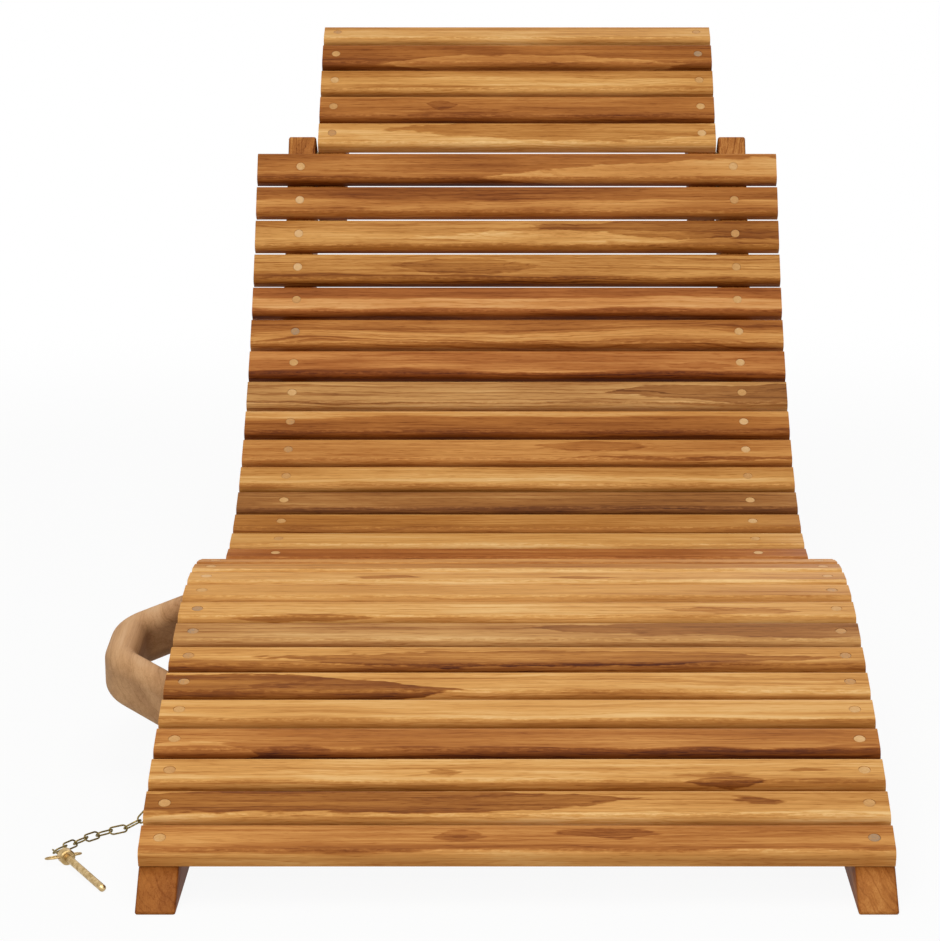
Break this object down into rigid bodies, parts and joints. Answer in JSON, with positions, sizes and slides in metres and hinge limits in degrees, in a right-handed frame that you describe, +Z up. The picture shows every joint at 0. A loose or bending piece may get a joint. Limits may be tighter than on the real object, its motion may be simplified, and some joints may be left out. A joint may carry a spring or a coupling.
{
  "type": "folding deck lounger",
  "caption": "Low folding lounger of rounded slats on curved wooden rails, with a tilting headrest, folding rear legs, a side carry handle and a chained locking pin.",
  "frame": {"origin": "on the floor under the middle of the whole chair's bounding box, chained pin included", "axes": "+Y from the feet towards the headrest, +Z up, +X to the right of a viewer facing the chair's foot end"},
  "size_m": [0.6928, 1.5124, 0.5875],
  "materials": {
    "teak_slats": "satin oiled teak",
    "teak_frame": "satin oiled teak",
    "teak_plugs": "satin teak, end grain",
    "steel_screws": "stainless",
    "brass_bolts": "aged",
    "brass_chain": "tarnished",
    "brass_pin": "worn"
  },
  "bodies": {
    "back_frame": {"back_rail_left": "teak_frame", "back_rail_right": "teak_frame", "back_brace": "teak_frame", "back_plugs": "teak_plugs", "back_screws": "steel_screws", "pivot_bolts": "brass_bolts", "back_slat_01": "teak_slats", "back_slat_02": "teak_slats", "back_slat_03": "teak_slats", "back_slat_04": "teak_slats", "back_slat_05": "teak_slats", "back_slat_06": "teak_slats", "back_slat_07": "teak_slats", "back_slat_08": "teak_slats", "back_slat_09": "teak_slats", "back_slat_10": "teak_slats", "back_slat_11": "teak_slats", "back_slat_12": "teak_slats", "back_slat_13": "teak_slats", "back_slat_14": "teak_slats", "back_slat_15": "teak_slats", "back_slat_16": "teak_slats", "back_slat_17": "teak_slats", "back_slat_18": "teak_slats"},
    "front_frame": {"front_rail_left": "teak_frame", "front_rail_right": "teak_frame", "carry_handle": "teak_frame", "front_plugs": "teak_plugs", "front_screws": "steel_screws", "pin_chain": "brass_chain", "locking_pin": "brass_pin", "front_slat_01": "teak_slats", "front_slat_02": "teak_slats", "front_slat_03": "teak_slats", "front_slat_04": "teak_slats", "front_slat_05": "teak_slats", "front_slat_06": "teak_slats", "front_slat_07": "teak_slats", "front_slat_08": "teak_slats", "front_slat_09": "teak_slats", "front_slat_10": "teak_slats", "front_slat_11": "teak_slats", "front_slat_12": "teak_slats", "front_slat_13": "teak_slats", "front_slat_14": "teak_slats", "front_slat_15": "teak_slats", "front_slat_16": "teak_slats"},
    "rear_legs": {"rear_leg_left": "teak_frame", "rear_leg_right": "teak_frame", "leg_stretcher": "teak_frame"},
    "headrest": {"headrest_rail_left": "teak_frame", "headrest_rail_right": "teak_frame", "headrest_plugs": "teak_plugs", "headrest_screws": "steel_screws", "headrest_slat_1": "teak_slats", "headrest_slat_2": "teak_slats", "headrest_slat_3": "teak_slats", "headrest_slat_4": "teak_slats", "headrest_slat_5": "teak_slats"}
  },
  "joints": [
    {"name": "front_fold", "type": "hinge", "parent": "back_frame", "child": "front_frame", "pos_m": [0.04205, -0.08526, 0.06123], "axis": [1, 0, 0], "range_deg": [0, 170]},
    {"name": "rear_leg_fold", "type": "hinge", "parent": "back_frame", "child": "rear_legs", "pos_m": [0.04205, 0.48428, 0.26207], "axis": [1, 0, 0], "range_deg": [-60, 0]},
    {"name": "headrest_tilt", "type": "hinge", "parent": "back_frame", "child": "headrest", "pos_m": [0.04205, 0.58389, 0.44245], "axis": [1, 0, 0], "range_deg": [0, 10]}
  ]
}
